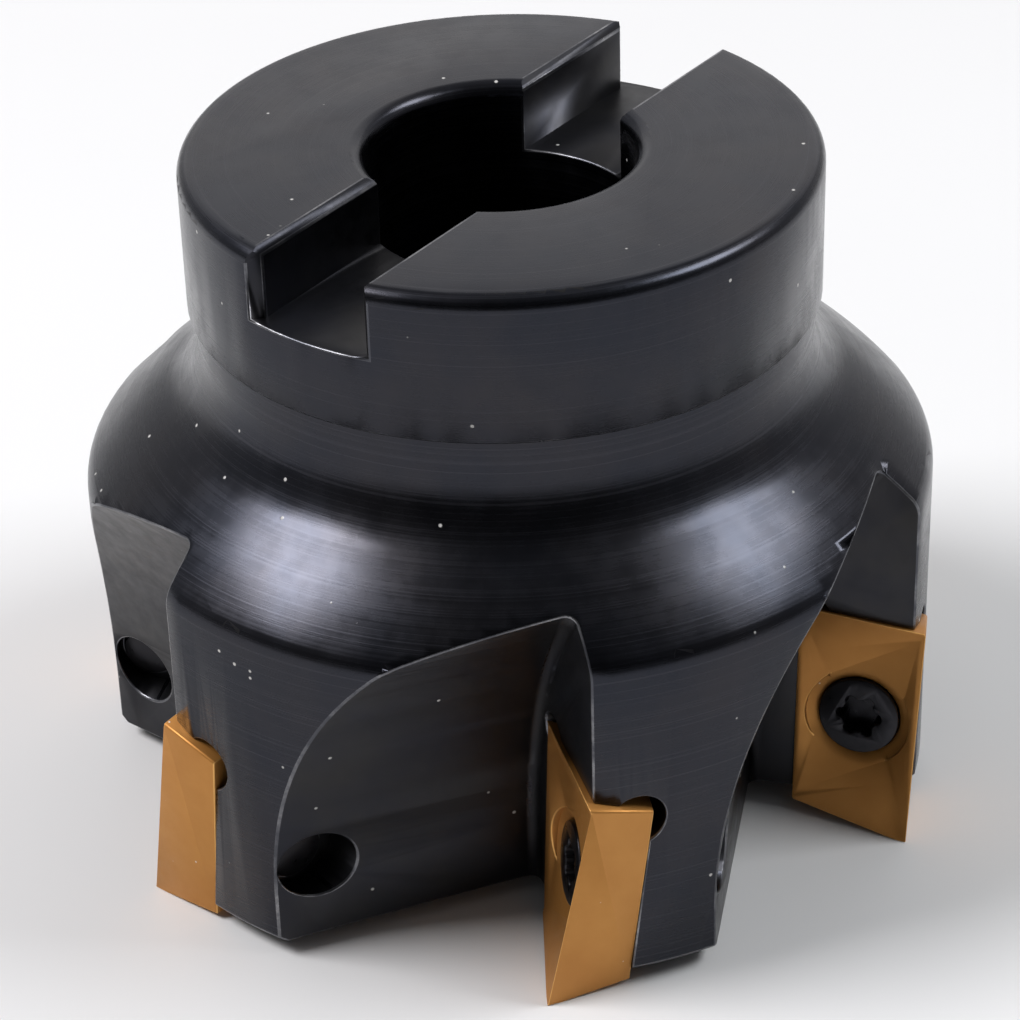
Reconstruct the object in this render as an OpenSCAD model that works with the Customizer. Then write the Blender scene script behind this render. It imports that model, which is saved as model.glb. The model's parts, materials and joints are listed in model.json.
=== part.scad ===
// Square-shoulder face mill: arbor-mounted body, six indexable inserts and their screws.
// Millimetres. +Z up, the cutting plane is z = 0, the drive slot runs along X.

/* [Cutter] */
// Cutting diameter, over the insert corners
cutting_d = 63.5; // [62:0.1:66]
// Height from the cutting plane to the mounting face
height = 50.8; // [48:0.1:54]
// Diameter over the teeth, inside the cutting diameter
tooth_d = 61.5; // [61:0.1:62]
// How far the inserts stand below the body's outer edge
body_lift = 1.1; // [0.8:0.1:2]
// Slope of the body's lower face, rising towards the axis
face_dish = 3; // [0:0.5:5]

/* [Hub] */
// Hub diameter
hub_d = 45; // [42:0.1:46]
// Height of the hub collar
hub_h = 10.8; // [9:0.1:12]
// Diameter of the neck just under the collar
neck_d = 44; // [42:0.1:44.4]
// Radius on the rim of the mounting face and on the mouth of the bore
rim_round = 1.05; // [0.5:0.05:1.5]
// Arbor bore
bore_d = 19.05; // [18:0.01:20]
// Counterbore for the arbor screw, from below
counterbore_d = 27; // [24:0.1:28]
// Depth of that counterbore, from the cutting plane
counterbore_top = 22; // [18:0.5:26]

/* [Drive slot] */
// Width of the slot
slot_w = 8.4; // [7.9:0.05:10]
// Depth of the slot
slot_depth = 5.2; // [4:0.1:6]
// Broken edge along the top of the slot
slot_edge = 0.5; // [0.2:0.05:0.8]
// Chamfer where the slot walls leave the hub
slot_corner = 1; // [0.5:0.1:1.4]

/* [Shoulder] */
// Height at which the shoulder's rounded corner meets the teeth
shoulder_z = 26; // [25:0.1:27]
// Radius of that corner
shoulder_corner_r = 2.2; // [1.5:0.1:4]
// Radius of the domed shoulder
dome_r = 35; // [20:1:40]
// Height at which the neck runs into the cove
cove_z = 37.6; // [36:0.1:39]
// Radius of the cove between neck and dome
cove_r = 6.6; // [5:0.1:8]

/* [Gullets] */
// Distance from the insert corner back to the gullet's wall, at the tooth's outside
wall_back = 3.4; // [3:0.1:4]
// Distance of the gullet floor from the cutter axis
floor_n = 18.5; // [18:0.1:19.5]
// Direction of the gullet floor's normal, past the tooth's own direction
floor_angle = 16; // [12:0.5:20]
// Radius at which the gullet runs out through the shoulder
runout_r = 38; // [34:0.5:42]
// Height where the run-out starts
runout_z = 5.5; // [3:0.5:8]
// Radius in the corner of the gullet
gullet_corner_r = 0.8; // [0.5:0.1:2]

/* [Insert] */
// Length of a long side
insert_l = 16.7; // [16:0.1:17.5]
// Width across the long sides
insert_w = 9.1; // [8.8:0.05:9.5]
// Thickness at the sharp corners
nose_t = 5.85; // [5.6:0.05:6]
// Thickness at the blunt corners
heel_t = 4.6; // [4.4:0.05:4.8]
// Height of the flat land round the screw
land_t = 4.45; // [4.3:0.05:4.5]
// Clearance angle of the sides
relief = 11; // [9:0.5:13]
// Forward lean of the seat, in the plane of the axis
axial_rake = 6.8; // [5:0.1:9]
// Turn of the seat, in plan
radial_rake = 6.8; // [4:0.1:9]

/* [Insert screw] */
// Screw diameter, drawn over the thread
screw_d = 4; // [3.9:0.1:4]
// Head diameter
head_d = 6; // [5.6:0.1:6]
// Length under the seat face
screw_reach = 4.9; // [4:0.1:5.2]
// Size across the points of the six-lobe socket
socket_d = 3.4; // [3:0.05:3.6]

/* [Hidden] */
$fn = 96;

teeth = 6;
first_tooth = 39.2;                 // direction of insert 1 from the drive slot
tip_r = cutting_d / 2;
tooth_r = tooth_d / 2;
hub_r = hub_d / 2;
bore_r = bore_d / 2;
hub_z = height - hub_h;
slot_z = height - slot_depth;
counterbore_r = counterbore_d / 2;
edge_break = 0.5;                   // outer edge of the body's lower face, and the counterbore's mouth
rise = tan(face_dish);
mouth_z = body_lift + (tooth_r - counterbore_r) * rise;
lap = 0.3;                          // keeps the shoulder's arcs from ending just where they touch
tuck = 0.004;
corner_at = [tooth_r - shoulder_corner_r, shoulder_z];
cove_at = [neck_d / 2 + cove_r - tuck, cove_z];
// the dome's centre, from which its arc runs on smoothly into the corner and the cove
span = norm(cove_at - corner_at);
along = (pow(dome_r - shoulder_corner_r, 2) - pow(dome_r + cove_r, 2) + span * span) / (2 * span);
aside = sqrt(pow(dome_r - shoulder_corner_r, 2) - along * along);
toward = (cove_at - corner_at) / span;
dome_at = corner_at + along * toward + aside * [-toward.y, toward.x];
far = 60;                           // longer than anything it cuts
over = 1;                           // how far a cut runs past the face it opens

corner = 85;                        // sharp corner of the insert
edge_lean = 1.2;                    // brings the long edge onto the cutting cylinder
mid_t = (nose_t + heel_t) / 2;      // height at which the insert's width is measured
side_u = insert_w / 2;
end_n = insert_l * sin(corner) / 2;
wiper = 0.1;                        // ground off the sharp corner, as a short wiper flat
seat_gap = 0.02;                    // between the insert's sides and its pocket
pocket_top = 9;                     // clears the gullet wall above the seat
roof_relief_r = 1.95;
roof_relief_h = 0.95;               // height of its axis above the seat
roof_relief_over = 0.1;             // how far it cuts above the roof
corner_relief_r = 1.5;              // drilled at the pocket's inner corner
corner_relief_in = 0.5;
corner_relief_down = 0.6;
corner_relief_h = 7;
nose_u = side_u + (nose_t - mid_t) * tan(relief);
nose_end = end_n + (nose_t - mid_t) * tan(relief);
nose_v = -(nose_end + nose_u * cos(corner)) / sin(corner);
inner_v = (end_n + side_u * cos(corner)) / sin(corner);
edge_drop = (nose_t - heel_t) / insert_l;
end_drop = (nose_t - heel_t) / insert_w;
side_slope = 24;                    // chip groove inside the long edges
end_slope = 19;                     // chip groove inside the end edges

hole_r = 2.2;                       // screw hole through the insert
tapped_r = 2.05;                    // tapped hole, drawn at the thread's outer size plus clearance
thread_depth = 4.6;                 // threaded length below the seat
relief_hole_r = 2.7;                // opened out behind the thread, into the next gullet
relief_hole_l = 5;
relief_hole_in = 0.45;              // drilled from the gullet, a little nearer the cutter's axis
screw_r = screw_d / 2;
head_r = head_d / 2;
head_top = 4.4;                     // head lies just under the insert's land
head_rim = 0.5;
head_gap = 0.05;                    // round the head, in the insert
head_cone = 30;                     // half angle of the head's underside
cone_top = head_top - head_rim;
cone_low = cone_top - (head_r - screw_r) / tan(head_cone);
flare_r = 3.9;                      // mouth of the insert's screw hole
flare_low = 4;
socket_depth = 1.6;
lobe_r = 0.42;

// Quarter-rounded collar section, from the bore to the rim
module hub_section(low) {
    translate([bore_r, low]) square([hub_r - bore_r, height - rim_round - low]);
    translate([bore_r + rim_round, low]) square([hub_r - bore_r - 2 * rim_round, height - low]);
    for (r = [bore_r + rim_round, hub_r - rim_round])
        translate([r, height - rim_round]) circle(r = rim_round);
}

module body_section() {
    difference() {
        union() {
            hub_section(hub_z);
            translate([0, shoulder_z]) square([neck_d / 2, hub_z - shoulder_z]);
            translate(corner_at) circle(r = shoulder_corner_r);
            intersection() {
                translate(dome_at) circle(r = dome_r);
                polygon([dome_at, 2 * corner_at - dome_at - [0, lap], 2 * cove_at - dome_at]);
            }
            difference() {
                polygon([dome_at, cove_at - [0, lap], [0, cove_z]]);
                translate(cove_at) circle(r = cove_r);
            }
            polygon([[0, body_lift + tooth_r * rise], [tooth_r - edge_break, body_lift + edge_break * rise],
                     [tooth_r, body_lift + edge_break], [tooth_r, shoulder_z], [0, shoulder_z]]);
        }
        square([bore_r, height + over]);
        square([counterbore_r, counterbore_top]);
        polygon([[0, mouth_z - edge_break], [counterbore_r + 2 * edge_break, mouth_z - edge_break],
                 [counterbore_r, mouth_z + edge_break], [0, mouth_z + edge_break]]);
    }
}

// Straight slot with broken top edges and chamfered corners at the hub's side
module drive_slot() {
    wall = slot_w / 2;
    rotate([90, 0, 90]) translate([0, 0, -far / 2]) linear_extrude(far)
        polygon([[-wall, slot_z], [wall, slot_z], [wall, height - slot_edge],
                 [wall + slot_edge, height], [wall + slot_edge, height + over],
                 [-wall - slot_edge, height + over], [-wall - slot_edge, height],
                 [-wall, height - slot_edge]]);
    for (x = [-1, 1], y = [-1, 1])
        translate([x * sqrt(hub_r * hub_r - wall * wall), y * wall, slot_z])
            rotate([0, 0, 45]) translate([-slot_corner / sqrt(2), -slot_corner / sqrt(2), 0])
                cube([sqrt(2) * slot_corner, sqrt(2) * slot_corner, slot_depth + over]);
}

// Flat floor and square wall in front of a tooth. x runs out along the floor's normal, the wall
// faces -Y, and the floor runs out upwards at the cutter's own radius.
module gullet() {
    wall_x = sqrt(tooth_r * tooth_r - wall_back * wall_back);
    wall_y = wall_back * cos(floor_angle) - wall_x * sin(floor_angle);
    rotate([0, 0, floor_angle]) translate([floor_n, wall_y, runout_z]) {
        translate([runout_r, 0, 0]) rotate([90, 0, 0]) rotate_extrude() {
            translate([0, gullet_corner_r]) square([runout_r, far]);
            square([runout_r - gullet_corner_r, far]);
            translate([runout_r - gullet_corner_r, gullet_corner_r]) circle(r = gullet_corner_r);
        }
        translate([0, 0, -far]) linear_extrude(far) {
            translate([gullet_corner_r, -far]) square([far, far]);
            translate([0, -far - gullet_corner_r]) square([far, far]);
            translate([gullet_corner_r, -gullet_corner_r]) circle(r = gullet_corner_r);
        }
    }
}

// Moves children to tooth i
module at_tooth(i) {
    rotate([0, 0, first_tooth + 360 / teeth * (i - 1)]) children();
}

// Seat axes of a tooth: x outward across the insert, y up along it, z out of the seat
module at_seat() {
    translate([tip_r, 0, -wiper]) rotate([0, 0, radial_rake]) rotate([-axial_rake, 0, 0])
        rotate([0, edge_lean, 0]) rotate([90, 0, 0]) translate([-nose_u, -nose_v, -nose_t]) children();
}

// Everything on the inner side of one relieved side of the insert
module inside_of(angle, distance) {
    rotate([0, 0, angle]) translate([distance, 0, mid_t]) rotate([0, relief, 0])
        translate([-far, -far / 2, -far / 2]) cube(far);
}

module pocket() {
    intersection() {
        translate([-far / 2, -far / 2, 0]) cube([far, far, pocket_top]);
        inside_of(180, side_u + seat_gap);
        inside_of(corner, end_n + seat_gap);
    }
    // clearance along the corner under the pocket's roof
    intersection() {
        rotate([0, 0, corner])
            translate([end_n + roof_relief_over - roof_relief_r, -far / 2, roof_relief_h])
                rotate([-90, 0, 0]) cylinder(r = roof_relief_r, h = far);
        translate([-side_u, -far / 2, -far / 2]) cube(far);
    }
    // clearance round the insert's sharp inner corner
    translate([corner_relief_in - side_u, inner_v - corner_relief_down, 0])
        cylinder(r = corner_relief_r, h = corner_relief_h);
}

module screw_hole() {
    translate([0, 0, -thread_depth]) cylinder(r = tapped_r, h = thread_depth + over);
    translate([-relief_hole_in, 0, -thread_depth - relief_hole_l])
        cylinder(r = relief_hole_r, h = relief_hole_l);
}

module cutter_body() color([0.1, 0.1, 0.11]) difference() {
    rotate_extrude() body_section();
    drive_slot();
    for (i = [1:teeth]) at_tooth(i) {
        gullet();
        at_seat() {
            pocket();
            screw_hole();
        }
    }
}

// Half space under one chip groove, which climbs at the given slope to its cutting edge
module under_groove(angle, distance, slope, drop) {
    rotate([0, 0, angle]) translate([distance, 0, mid_t]) rotate([-atan(drop), 0, 0])
        rotate([0, -slope, 0]) translate([-far / 2, -far / 2, -far]) cube(far);
}

module insert(i) color([0.78, 0.57, 0.24]) difference() {
    at_tooth(i) at_seat() difference() {
        intersection() {
            translate([-far / 2, -far / 2, 0]) cube([far, far, nose_t + over]);
            inside_of(0, side_u);
            inside_of(180, side_u);
            inside_of(corner, end_n);
            inside_of(corner + 180, end_n);
            union() {
                translate([-far / 2, -far / 2, -over]) cube([far, far, land_t + over]);
                for (angle = [0, 180]) {
                    under_groove(angle, side_u, side_slope, edge_drop);
                    under_groove(angle + corner, end_n, end_slope, -end_drop);
                }
            }
        }
        translate([0, 0, -over]) cylinder(r = hole_r, h = nose_t + 2 * over);
        translate([0, 0, cone_low])
            cylinder(r1 = screw_r + head_gap, r2 = head_r + head_gap, h = cone_top - cone_low);
        translate([0, 0, cone_top]) cylinder(r = head_r + head_gap, h = nose_t);
        translate([0, 0, flare_low])
            cylinder(r1 = head_r + head_gap, r2 = flare_r, h = land_t - flare_low);
        translate([0, 0, land_t]) cylinder(r = flare_r, h = nose_t);
    }
    // wiper flat, ground in the cutting plane
    translate([-far, -far, -far]) cube([2 * far, 2 * far, far]);
}

// Six-lobe driver socket
module socket() {
    translate([0, 0, head_top - socket_depth]) linear_extrude(socket_depth + over) {
        circle(r = socket_d / 2 - lobe_r);
        for (a = [0:60:300]) rotate(a) translate([socket_d / 2 - lobe_r, 0]) circle(r = lobe_r);
    }
}

module insert_screw(i) color([0.09, 0.09, 0.1]) at_tooth(i) at_seat() difference() {
    union() {
        translate([0, 0, cone_top]) cylinder(r = head_r, h = head_rim);
        translate([0, 0, cone_low]) cylinder(r1 = screw_r, r2 = head_r, h = cone_top - cone_low);
        translate([0, 0, -screw_reach]) cylinder(r = screw_r, h = screw_reach + cone_low);
    }
    socket();
}

cutter_body();
insert(1);  // insert_1
insert(2);  // insert_2
insert(3);  // insert_3
insert(4);  // insert_4
insert(5);  // insert_5
insert(6);  // insert_6
insert_screw(1);  // insert_screw_1
insert_screw(2);  // insert_screw_2
insert_screw(3);  // insert_screw_3
insert_screw(4);  // insert_screw_4
insert_screw(5);  // insert_screw_5
insert_screw(6);  // insert_screw_6
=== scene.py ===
"""Looks of a six-insert face mill: blackened steel body, gold-coated inserts and their screws."""
import json
import math

import bmesh
import bpy
from mathutils import Matrix, Vector


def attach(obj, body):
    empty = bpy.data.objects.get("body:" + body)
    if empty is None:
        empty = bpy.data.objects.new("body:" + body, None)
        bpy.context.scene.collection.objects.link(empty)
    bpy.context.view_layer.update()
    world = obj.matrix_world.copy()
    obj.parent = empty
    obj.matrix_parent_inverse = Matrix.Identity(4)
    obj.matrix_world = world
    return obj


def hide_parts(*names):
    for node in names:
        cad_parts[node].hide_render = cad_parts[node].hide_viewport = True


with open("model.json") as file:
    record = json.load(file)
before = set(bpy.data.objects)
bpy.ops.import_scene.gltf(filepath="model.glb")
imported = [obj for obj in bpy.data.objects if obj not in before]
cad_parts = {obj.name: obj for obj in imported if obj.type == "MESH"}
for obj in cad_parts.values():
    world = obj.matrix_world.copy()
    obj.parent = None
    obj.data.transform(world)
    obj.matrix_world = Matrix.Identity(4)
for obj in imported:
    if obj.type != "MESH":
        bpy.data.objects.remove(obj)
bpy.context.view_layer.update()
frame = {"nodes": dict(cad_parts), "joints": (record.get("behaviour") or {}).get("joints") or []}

# ---- Cutter body ----
# One piece of tool steel, turned on the outside, then milled for the drive slot, the gullets and
# the insert pockets, deburred and blackened in a hot oxide bath. The arbor's screw holds it.
TEETH = 6
MM = 0.001
WELD = 0.00002
FLAT = math.radians(0.5)
SHARP = math.radians(30)
GATHER = 0.0001
BODY_EDGE = 0.00014
EDGE_SEGMENTS = 2
LEAST_CHAIN = 1.5 * MM
TURNED, MILLED, WORN = 0, 1, 2
TURNED_SLANT = 0.02
SLOT_HALF_WIDTH = 4.5 * MM
SLOT_INNER_R = 10.5 * MM
SLOT_FLOOR = 45 * MM
SLOT_TOP = 50.2 * MM
MOUTH_R = 10.7 * MM
RIM_R = 21.2 * MM
RIM_LOW = 49.5 * MM


def cad_copy(node, name, gather):
    """A welded copy of a CAD node's mesh as a new object. Its flat faces are made whole, and the
    corners along its sharp edges that lie closer than gather are joined."""
    bm = bmesh.new()
    bm.from_mesh(frame["nodes"][node].data)
    bmesh.ops.remove_doubles(bm, verts=bm.verts, dist=WELD)
    bmesh.ops.dissolve_limit(bm, angle_limit=FLAT, verts=bm.verts, edges=bm.edges)
    corners = {vert for edge in bm.edges if edge.calc_face_angle(0) > SHARP for vert in edge.verts}
    bmesh.ops.remove_doubles(bm, verts=list(corners), dist=gather)
    bmesh.ops.dissolve_degenerate(bm, edges=bm.edges, dist=WELD)
    mesh = bpy.data.meshes.new(name)
    bm.to_mesh(mesh)
    bm.free()
    obj = bpy.data.objects.new(name, mesh)
    bpy.context.scene.collection.objects.link(obj)
    return obj


def everywhere(point):
    """Leaves no place out."""
    return True


def long_chains(edges, least):
    """The edges that join up into chains of at least a given length."""
    left = set(edges)
    kept = []
    while left:
        chain = [left.pop()]
        for edge in chain:
            joined = {other for vert in edge.verts for other in vert.link_edges} & left
            left -= joined
            chain.extend(joined)
        if sum(edge.calc_length() for edge in chain) >= least:
            kept.extend(chain)
    return kept


def broken_edges(obj, width, segments, material, where=everywhere):
    """Rounds the sharp outward edges, leaving the new faces on the given material slot."""
    bm = bmesh.new()
    bm.from_mesh(obj.data)
    weight = bm.edges.layers.float.new("bevel_weight_edge")
    outward = []
    for edge in bm.edges:
        edge.smooth = edge.calc_face_angle(0) < SHARP
        middle = (edge.verts[0].co + edge.verts[1].co) / 2
        if edge.is_convex and not edge.smooth and where(middle):
            outward.append(edge)
    for edge in long_chains(outward, LEAST_CHAIN):
        edge[weight] = 1
        edge.smooth = True
    for face in bm.faces:
        face.smooth = True
    bm.to_mesh(obj.data)
    bm.free()
    bevel = obj.modifiers.new("edges", "BEVEL")
    bevel.width = width
    bevel.segments = segments
    bevel.limit_method = "WEIGHT"
    bevel.use_clamp_overlap = False
    bevel.loop_slide = False
    bevel.harden_normals = True
    bevel.material = material


def material(name):
    """A new node material, its tree and its shader."""
    mat = bpy.data.materials.new(name)
    mat.use_nodes = True
    return mat, mat.node_tree, mat.node_tree.nodes["Principled BSDF"]


def node(tree, kind, **inputs):
    """Adds a node; inputs with plain values are set, and sockets are linked."""
    new = tree.nodes.new(kind)
    for key, value in inputs.items():
        socket = new.inputs[key.replace("_", " ")]
        if isinstance(value, bpy.types.NodeSocket):
            tree.links.new(value, socket)
        else:
            socket.default_value = value
    return new


def maths(tree, operation, a, b):
    """A maths node's output."""
    new = tree.nodes.new("ShaderNodeMath")
    new.operation = operation
    for i, value in enumerate((a, b)):
        if isinstance(value, bpy.types.NodeSocket):
            tree.links.new(value, new.inputs[i])
        else:
            new.inputs[i].default_value = value
    return new.outputs[0]


def ramp(tree, value, low, high, out_low, out_high):
    """Maps a value from one range to another, clamped."""
    new = node(tree, "ShaderNodeMapRange", Value=value)
    ends = {"From Min": low, "From Max": high, "To Min": out_low, "To Max": out_high}
    for socket, number in ends.items():
        new.inputs[socket].default_value = number
    return new.outputs[0]


def tint(tree, factor, low, high):
    """Mixes two colours by a factor."""
    new = tree.nodes.new("ShaderNodeMix")
    new.data_type = "RGBA"
    tree.links.new(factor, new.inputs[0])
    for socket, colour in ((new.inputs[6], low), (new.inputs[7], high)):
        if isinstance(colour, bpy.types.NodeSocket):
            tree.links.new(colour, socket)
        else:
            socket.default_value = (*colour, 1)
    return new.outputs[2]


def place(tree):
    """The point being shaded, in metres."""
    return tree.nodes.new("ShaderNodeTexCoord").outputs["Object"]


def noise(tree, vector, scale, detail=3.0, rough=0.5, axes=None):
    """Fractal noise at a scale per metre, stretched per axis when axes are given."""
    if axes:
        mapping = node(tree, "ShaderNodeMapping", Vector=vector)
        mapping.inputs["Scale"].default_value = axes
        vector = mapping.outputs[0]
    new = node(tree, "ShaderNodeTexNoise", Vector=vector, Scale=scale, Detail=detail, Roughness=rough)
    return new.outputs["Fac"]


def specks(tree, vector, scale, reach):
    """1 on small sparse specks of dust and 0 elsewhere."""
    cells = node(tree, "ShaderNodeTexVoronoi", Vector=vector, Scale=scale)
    near = ramp(tree, cells.outputs["Distance"], reach * 0.6, reach, 1, 0)
    chosen = tree.nodes.new("ShaderNodeSeparateColor")
    tree.links.new(cells.outputs["Color"], chosen.inputs[0])
    return maths(tree, "MULTIPLY", near, ramp(tree, chosen.outputs[0], 0.86, 0.88, 0, 1))


def bump(tree, height, distance, strength=1.0):
    """A bump node's normal for a height of 0 to 1 times a distance."""
    new = node(tree, "ShaderNodeBump", Height=height, Strength=strength)
    new.inputs["Distance"].default_value = distance
    return new.outputs[0]


def ring_profile(tree, vector):
    """Radius and height about the cutter's axis, as a vector: equal all round each turned line."""
    parts = node(tree, "ShaderNodeSeparateXYZ", Vector=vector)
    flat = node(tree, "ShaderNodeCombineXYZ", X=parts.outputs[0], Y=parts.outputs[1])
    radius = tree.nodes.new("ShaderNodeVectorMath")
    radius.operation = "LENGTH"
    tree.links.new(flat.outputs[0], radius.inputs[0])
    both = node(tree, "ShaderNodeCombineXYZ", X=radius.outputs["Value"], Z=parts.outputs[2])
    return both.outputs[0]


def black_turned():
    """Hot oxide over fine turning lines, a little worn on the domed shoulder, with stray dust."""
    mat, tree, shader = material("black_oxide_turned")
    here = place(tree)
    profile = ring_profile(tree, here)
    lines = noise(tree, profile, 5200, 2, 0.6)
    broad = noise(tree, profile, 900, 2, 0.5)
    patch = noise(tree, here, 90, 4, 0.6)
    cloud = noise(tree, here, 420, 3, 0.55)
    dust = specks(tree, here, 620, 0.10)
    base = tint(tree, ramp(tree, patch, 0.35, 0.7, 0, 1), (0.030, 0.032, 0.040), (0.040, 0.039, 0.044))
    base = tint(tree, ramp(tree, lines, 0.55, 0.8, 0, 0.5), base, (0.072, 0.072, 0.084))
    colour = tint(tree, dust, base, (0.55, 0.54, 0.52))
    tree.links.new(colour, shader.inputs["Base Color"])
    sheen = ramp(tree, lines, 0.3, 0.7, 0.20, 0.30)
    rough = maths(tree, "ADD", sheen, ramp(tree, cloud, 0.3, 0.7, -0.03, 0.05))
    rough = maths(tree, "ADD", rough, maths(tree, "MULTIPLY", dust, 0.4))
    tree.links.new(rough, shader.inputs["Roughness"])
    tree.links.new(maths(tree, "SUBTRACT", 1.0, dust), shader.inputs["Metallic"])
    heights = maths(tree, "ADD", maths(tree, "MULTIPLY", lines, 0.55), maths(tree, "MULTIPLY", broad, 0.3))
    heights = maths(tree, "ADD", heights, maths(tree, "MULTIPLY", dust, 1.5))
    tree.links.new(bump(tree, heights, 0.000008), shader.inputs["Normal"])
    return mat


def black_milled():
    """Hot oxide over milled faces: finer, flatter, with faint slanting cutter marks."""
    mat, tree, shader = material("black_oxide_milled")
    here = place(tree)
    marks = noise(tree, here, 1.0, 2, 0.5, (2600, 2600, 420))
    patch = noise(tree, here, 110, 4, 0.6)
    cloud = noise(tree, here, 700, 3, 0.6)
    dust = specks(tree, here, 560, 0.09)
    base = tint(tree, ramp(tree, patch, 0.35, 0.7, 0, 1), (0.028, 0.029, 0.036), (0.039, 0.038, 0.038))
    colour = tint(tree, dust, base, (0.5, 0.5, 0.48))
    tree.links.new(colour, shader.inputs["Base Color"])
    rough = maths(tree, "ADD", ramp(tree, cloud, 0.3, 0.7, 0.32, 0.42), maths(tree, "MULTIPLY", dust, 0.4))
    tree.links.new(rough, shader.inputs["Roughness"])
    tree.links.new(maths(tree, "SUBTRACT", 1.0, dust), shader.inputs["Metallic"])
    heights = maths(tree, "ADD", maths(tree, "MULTIPLY", marks, 0.6), maths(tree, "MULTIPLY", cloud, 0.4))
    heights = maths(tree, "ADD", heights, maths(tree, "MULTIPLY", dust, 1.5))
    tree.links.new(bump(tree, heights, 0.000004), shader.inputs["Normal"])
    return mat


def black_worn():
    """The broken edges, where handling has thinned the oxide in places."""
    mat, tree, shader = material("black_oxide_edge")
    here = place(tree)
    wear = noise(tree, here, 240, 5, 0.65)
    fine = noise(tree, here, 2600, 2, 0.6)
    rub = maths(tree, "MULTIPLY", ramp(tree, wear, 0.42, 0.66, 0, 1), ramp(tree, fine, 0.3, 0.6, 0.5, 1))
    tree.links.new(tint(tree, rub, (0.075, 0.077, 0.088), (0.26, 0.26, 0.27)), shader.inputs["Base Color"])
    shader.inputs["Metallic"].default_value = 1.0
    tree.links.new(ramp(tree, rub, 0, 1, 0.34, 0.26), shader.inputs["Roughness"])
    tree.links.new(bump(tree, fine, 0.000003), shader.inputs["Normal"])
    return mat


def is_turned(face):
    """True on a face that the lathe made: its normal lies in a plane through the axis."""
    middle = face.center
    out = math.hypot(middle.x, middle.y)
    sideways = (face.normal.y * middle.x - face.normal.x * middle.y) / max(out, WELD)
    between_walls = abs(middle.y) < SLOT_HALF_WIDTH and out > SLOT_INNER_R
    in_slot = between_walls and SLOT_FLOOR < middle.z < SLOT_TOP
    return abs(sideways) < TURNED_SLANT and not in_slot


def below_rim(point):
    """Leaves out the collar's rounded rim and mouth, which have no sharp edge of their own."""
    return MOUTH_R < math.hypot(point.x, point.y) < RIM_R or point.z < RIM_LOW


body = cad_copy("cutter_body", "cutter_body_steel", GATHER)
for face in body.data.polygons:
    face.material_index = TURNED if is_turned(face) else MILLED
for finish in (black_turned(), black_milled(), black_worn()):
    body.data.materials.append(finish)
broken_edges(body, BODY_EDGE, EDGE_SEGMENTS, WORN, below_rim)
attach(body, "cutter_body")
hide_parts("cutter_body")

# ---- Inserts ----
# Six pressed and sintered carbide inserts with a gold-coloured coating, held in their pockets by
# one screw each. The cutting edges are honed, the blunt corners are rounded.
INSERT_HONE = 0.00007
BLUNT_ROUND = 0.0007
BLUNT_SEGMENTS = 6
BLUNT_LEAST_TURN = math.radians(60)
BLUNT_MOST_TURN = math.radians(90)
CORNER_LEAST_LENGTH = 3 * MM
CORNER_ALONG_SCREW = 0.9
HONE_HIGHLIGHT = 1


def gold_coating():
    """Satin gold coating: slightly patchy. The paler gold along the honed edges is a painted highlight
    from the edge material.
    """
    mat, tree, shader = material("gold_coating")
    here = place(tree)
    patch = noise(tree, here, 160, 4, 0.6)
    grain = noise(tree, here, 9000, 2, 0.6)
    cloud = noise(tree, here, 900, 3, 0.55)
    dust = specks(tree, here, 700, 0.07)
    base = tint(tree, ramp(tree, patch, 0.3, 0.7, 0, 1), (0.47, 0.205, 0.045), (0.54, 0.25, 0.060))
    colour = tint(tree, dust, base, (0.75, 0.72, 0.66))
    tree.links.new(colour, shader.inputs["Base Color"])
    shader.inputs["Metallic"].default_value = 0.6
    rough = ramp(tree, cloud, 0.3, 0.7, 0.40, 0.50)
    tree.links.new(rough, shader.inputs["Roughness"])
    heights = maths(tree, "ADD", grain, maths(tree, "MULTIPLY", dust, 2.0))
    tree.links.new(bump(tree, heights, 0.0000025), shader.inputs["Normal"])
    return mat


def gold_edge_painted_highlight():
    """The hone along the edges, coloured a paler, brighter gold as a painted highlight where the coating
    shines.
    """
    mat, tree, shader = material("gold_coating_edge_painted_highlight")
    here = place(tree)
    wear = noise(tree, here, 700, 4, 0.6)
    # paler gold on the hone is a painted highlight along the edges
    tree.links.new(tint(tree, wear, (0.66, 0.33, 0.09), (0.82, 0.48, 0.16)), shader.inputs["Base Color"])
    shader.inputs["Metallic"].default_value = 0.8
    tree.links.new(ramp(tree, wear, 0.3, 0.7, 0.30, 0.40), shader.inputs["Roughness"])
    return mat


def round_blunt_corners(obj, axis):
    """Rounds the insert's two blunt corners. Their edges run along the screw's axis."""
    bm = bmesh.new()
    bm.from_mesh(obj.data)
    blunt = []
    for edge in bm.edges:
        along = edge.verts[1].co - edge.verts[0].co
        turn = edge.calc_face_angle(0)
        lined_up = abs(along.normalized().dot(axis)) > CORNER_ALONG_SCREW
        upright = along.length > CORNER_LEAST_LENGTH and lined_up
        if upright and BLUNT_LEAST_TURN < turn < BLUNT_MOST_TURN:
            blunt.append(edge)
    bmesh.ops.bevel(bm, geom=blunt, offset=BLUNT_ROUND, offset_type="OFFSET", affect="EDGES",
                    segments=BLUNT_SEGMENTS, profile=0.5, material=-1, clamp_overlap=True)
    bm.to_mesh(obj.data)
    bm.free()


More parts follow.
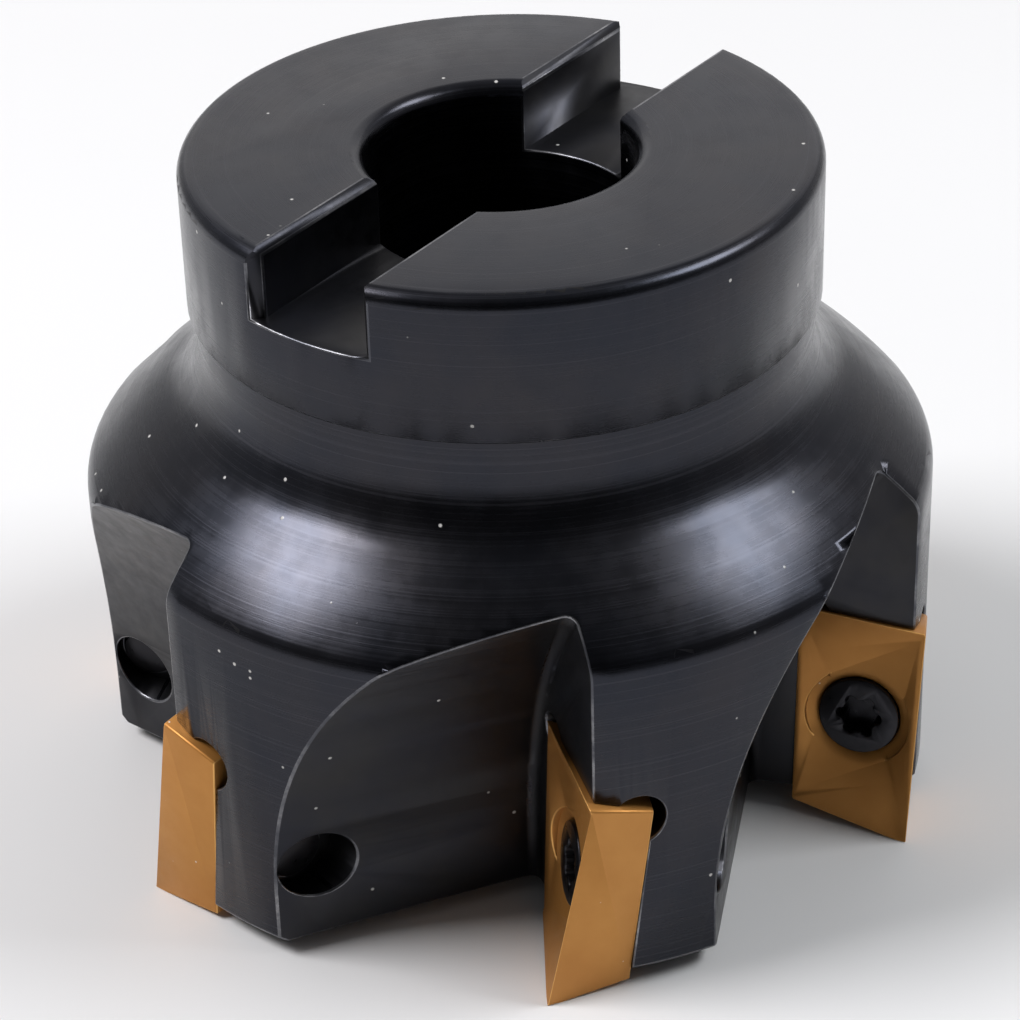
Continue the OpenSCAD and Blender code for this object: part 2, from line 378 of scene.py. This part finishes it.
lifts = {joint["child"]: Vector(joint["axis"]).normalized() for joint in frame["joints"]}
coating = gold_coating()
hone_painted_highlight = gold_edge_painted_highlight()
for number in range(1, TEETH + 1):
    insert = cad_copy(f"insert_{number}", f"insert_{number}_carbide", WELD)
    for finish in (coating, hone_painted_highlight):
        insert.data.materials.append(finish)
    round_blunt_corners(insert, lifts[f"insert_{number}"])
    # the hone's new faces take the paler gold of the painted highlight
    broken_edges(insert, INSERT_HONE, EDGE_SEGMENTS, HONE_HIGHLIGHT)
    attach(insert, f"insert_{number}")
    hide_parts(f"insert_{number}")

# ---- Insert screws ----
# M4 countersunk screws with a six-lobe socket, hardened and blackened, lightly oiled. Each goes
# through its insert into the tapped hole in the tooth.
SCREW_EDGE = 0.00012
OILED = 0


def screw_black():
    """Blackened screw: darker and glossier than the body."""
    mat, tree, shader = material("screw_black")
    here = place(tree)
    cloud = noise(tree, here, 1400, 3, 0.6)
    smear = noise(tree, here, 420, 4, 0.6)
    base = tint(tree, smear, (0.020, 0.020, 0.024), (0.045, 0.044, 0.048))
    tree.links.new(base, shader.inputs["Base Color"])
    shader.inputs["Metallic"].default_value = 0.9
    tree.links.new(ramp(tree, cloud, 0.3, 0.7, 0.26, 0.42), shader.inputs["Roughness"])
    tree.links.new(bump(tree, cloud, 0.000004), shader.inputs["Normal"])
    return mat


oiled = screw_black()
for number in range(1, TEETH + 1):
    screw = cad_copy(f"insert_screw_{number}", f"insert_screw_{number}_steel", WELD)
    screw.data.materials.append(oiled)
    broken_edges(screw, SCREW_EDGE, EDGE_SEGMENTS, OILED)
    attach(screw, f"insert_screw_{number}")
    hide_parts(f"insert_screw_{number}")

# ---- Floor and light ----
# A pale matt table under two soft boxes, left and right and well above, with a dim reflector
# behind and a dim room round them.
FLOOR_SIZE = 6.0
FLOOR_LEVEL = -0.00002
VIEW_ANGLE = -53.57
VIEW_HEIGHT = 32.27
VIEW_DISTANCE = 0.25388
VIEW_ROLL = -1.748
AIM = Vector((-0.00007, 0.00009, 0.02073))
LENS = 121.18


def from_camera(angle, height):
    """Unit vector towards a place seen angle degrees round from the camera, height degrees up."""
    turn = math.radians(VIEW_ANGLE + angle)
    tilt = math.radians(height)
    return Vector((math.sin(turn) * math.cos(tilt), -math.cos(turn) * math.cos(tilt), math.sin(tilt)))


def softbox(name, angle, height, distance, wide, tall, radiance, colour):
    """A rectangular area light that faces the cutter."""
    data = bpy.data.lights.new(name, "AREA")
    data.shape = "RECTANGLE"
    data.size = wide
    data.size_y = tall
    data.energy = radiance * math.pi * wide * tall
    data.color = colour
    lamp = bpy.data.objects.new(name, data)
    back = from_camera(angle, height)
    lamp.location = AIM + back * distance
    lamp.rotation_mode = "QUATERNION"
    lamp.rotation_quaternion = back.to_track_quat("Z", "Y")
    bpy.context.scene.collection.objects.link(lamp)


def pale_floor():
    """Matt pale table top, faintly mottled."""
    mat, tree, shader = material("pale_table")
    here = place(tree)
    mottle = noise(tree, here, 14, 3, 0.5)
    tree.links.new(tint(tree, mottle, (0.76, 0.76, 0.76), (0.79, 0.79, 0.79)), shader.inputs["Base Color"])
    shader.inputs["Roughness"].default_value = 0.85
    shader.inputs["Specular IOR Level"].default_value = 0.2
    return mat


ground = bmesh.new()
bmesh.ops.create_grid(ground, x_segments=2, y_segments=2, size=FLOOR_SIZE / 2)
floor_mesh = bpy.data.meshes.new("floor")
ground.to_mesh(floor_mesh)
ground.free()
floor = bpy.data.objects.new("floor", floor_mesh)
floor.location.z = FLOOR_LEVEL
floor.data.materials.append(pale_floor())
bpy.context.scene.collection.objects.link(floor)

softbox("box_left", -86, 50, 0.9, 0.38, 0.30, 19.0, (1.0, 0.985, 1.0))
softbox("box_right", 91, 47, 0.9, 0.40, 0.28, 12.0, (0.96, 0.98, 1.0))
softbox("box_back", 178, 30, 1.2, 1.5, 0.7, 0.55, (1.0, 0.97, 0.94))

room = bpy.data.worlds.new("room")
room.use_nodes = True
walls = room.node_tree
sky = walls.nodes["Background"]
sky.inputs["Color"].default_value = (0.97, 0.97, 1.0, 1)
toward = walls.nodes.new("ShaderNodeVectorMath")
toward.operation = "DOT_PRODUCT"
walls.links.new(walls.nodes.new("ShaderNodeTexCoord").outputs["Generated"], toward.inputs[0])
toward.inputs[1].default_value = from_camera(0, 15)
walls.links.new(ramp(walls, toward.outputs["Value"], -0.7, 0.9, 0.55, 0.05), sky.inputs["Strength"])
bpy.context.scene.world = room

# ---- Camera ----
# Long lens from well above the collar, looking down at the cutter, turned slightly about its own
# axis.
lens = bpy.data.cameras.new("camera")
lens.lens = LENS
lens.sensor_width = 36
lens.clip_start = 0.01
camera = bpy.data.objects.new("camera", lens)
back = from_camera(0, VIEW_HEIGHT)
camera.rotation_mode = "QUATERNION"
camera.location = AIM + back * VIEW_DISTANCE
level = back.to_track_quat("Z", "Y").to_matrix()
camera.rotation_quaternion = (level @ Matrix.Rotation(math.radians(VIEW_ROLL), 3, "Z")).to_quaternion()
bpy.context.scene.collection.objects.link(camera)
bpy.context.scene.camera = camera
bpy.context.scene.view_settings.view_transform = "Standard"
